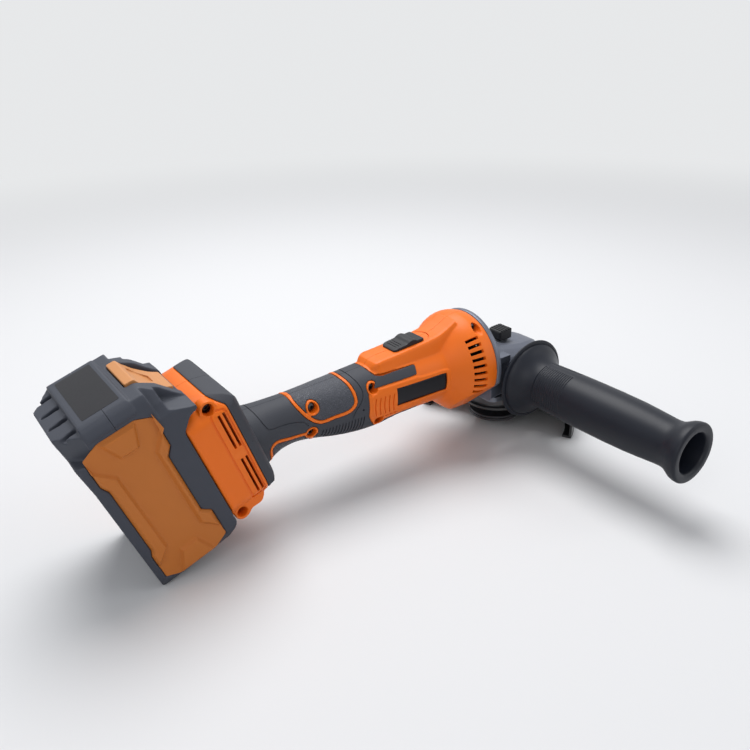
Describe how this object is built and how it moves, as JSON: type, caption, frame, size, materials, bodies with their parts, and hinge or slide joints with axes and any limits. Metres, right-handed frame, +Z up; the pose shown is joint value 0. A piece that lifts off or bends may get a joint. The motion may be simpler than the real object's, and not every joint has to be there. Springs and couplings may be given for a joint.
{
  "type": "angle grinder",
  "caption": "Cordless angle grinder with a slide-on battery pack, a slide switch, a spindle lock, a side handle and a turning guard, and no disc fitted",
  "frame": {"origin": "centre of the flat lower end of the spindle, on the spindle axis", "axes": "+X forward along the motor axis from the battery pack to the gear head, +Y to the left of someone holding the tool, +Z up the spindle"},
  "size_m": [0.4295, 0.258, 0.1398],
  "materials": {
    "shell_orange": "moulded nylon, fine spark grain",
    "soft_grip": "soft overmould, leather grain",
    "black_plastic": "moulded, fine grain",
    "pack_grey": "moulded, fine grain",
    "pack_orange": "moulded, fine grain",
    "cast_aluminium": "die cast, satin",
    "steel": "turned and ground",
    "black_steel": "black finish",
    "bronze": "sintered",
    "copper": "wound copper and laminations",
    "cell_wrap": "shrink wrap",
    "circuit_board": "solder mask"
  },
  "bodies": {
    "body": {"housing_right": "shell_orange", "housing_left": "shell_orange", "grip_sleeve_right": "soft_grip", "grip_sleeve_left": "soft_grip", "palm_pad_right": "soft_grip", "palm_pad_left": "soft_grip", "heel_pad_right": "soft_grip", "heel_pad_left": "soft_grip", "housing_screw_1": "steel", "housing_screw_2": "steel", "housing_screw_3": "steel", "housing_screw_4": "steel", "housing_screw_5": "steel", "housing_screw_6": "steel", "housing_screw_7": "steel", "gear_housing": "cast_aluminium", "bearing_retainer": "cast_aluminium", "gear_screw_1": "steel", "gear_screw_2": "steel", "gear_screw_3": "steel", "gear_screw_4": "steel", "retainer_screw_1": "black_steel", "retainer_screw_2": "black_steel", "retainer_screw_3": "black_steel", "retainer_screw_4": "black_steel", "fan_baffle": "black_plastic", "motor_can": "steel", "motor_end_cap": "black_plastic", "front_bearing": "steel", "rear_bearing": "steel", "spindle_bearing": "steel", "spindle_bush": "bronze", "switch_unit": "black_plastic", "lock_spring": "steel", "foot_terminal_block": "black_plastic", "control_board": "circuit_board"},
    "spindle": {"spindle": "steel", "ring_gear": "steel", "inner_flange": "steel", "lock_nut": "black_steel"},
    "rotor": {"rotor": "copper", "pinion": "steel", "cooling_fan": "black_plastic"},
    "guard": {"guard_shell": "black_steel", "guard_clamp_band": "steel", "guard_clamp_screw": "black_steel"},
    "side_handle": {"side_handle_grip": "black_plastic", "side_handle_stud": "steel"},
    "lock_button": {"lock_button": "black_plastic", "lock_pin": "steel"},
    "switch": {"switch_slider": "black_plastic", "switch_rod": "black_plastic"},
    "battery": {"battery_case_back": "pack_grey", "battery_case_front": "pack_grey", "battery_side_panel_right": "pack_orange", "battery_side_panel_left": "pack_orange", "cell_pack": "cell_wrap", "pack_terminals": "copper"},
    "battery_latch": {"battery_latch": "pack_orange"}
  },
  "joints": [
    {"name": "spindle_turn", "type": "hinge", "parent": "body", "child": "spindle", "pos_m": [0, 0, 0.03], "axis": [0, 0, 1], "continuous": true},
    {"name": "rotor_turn", "type": "hinge", "parent": "body", "child": "rotor", "pos_m": [-0.08, 0, 0.068], "axis": [1, 0, 0], "continuous": true},
    {"name": "guard_turn", "type": "hinge", "parent": "body", "child": "guard", "pos_m": [0, 0, 0.02], "axis": [0, 0, 1], "range_deg": [-5, 130]},
    {"name": "side_handle_screw", "type": "hinge", "parent": "body", "child": "side_handle", "pos_m": [0, -0.1, 0.0522], "axis": [0, -1, 0], "continuous": true},
    {"name": "lock_button_press", "type": "slide", "parent": "body", "child": "lock_button", "axis": [0, 0, -1], "range_m": [0, 0.003], "stiffness_N_per_m": 700, "springref_m": -0.002, "deforming": ["lock_spring"]},
    {"name": "switch_slide", "type": "slide", "parent": "body", "child": "switch", "axis": [0.996, 0, 0.0896], "range_m": [0, 0.006]},
    {"name": "battery_slide", "type": "slide", "parent": "body", "child": "battery", "axis": [-0.3206, 0, 0.9472], "range_m": [0, 0.075]},
    {"name": "latch_press", "type": "slide", "parent": "battery", "child": "battery_latch", "axis": [0.3206, 0, -0.9472], "range_m": [0, 0.003], "stiffness_N_per_m": 600, "springref_m": -0.002}
  ],
  "couplings": [
    {"joint": "rotor_turn", "follows": "spindle_turn", "ratio": -3.3636}
  ]
}
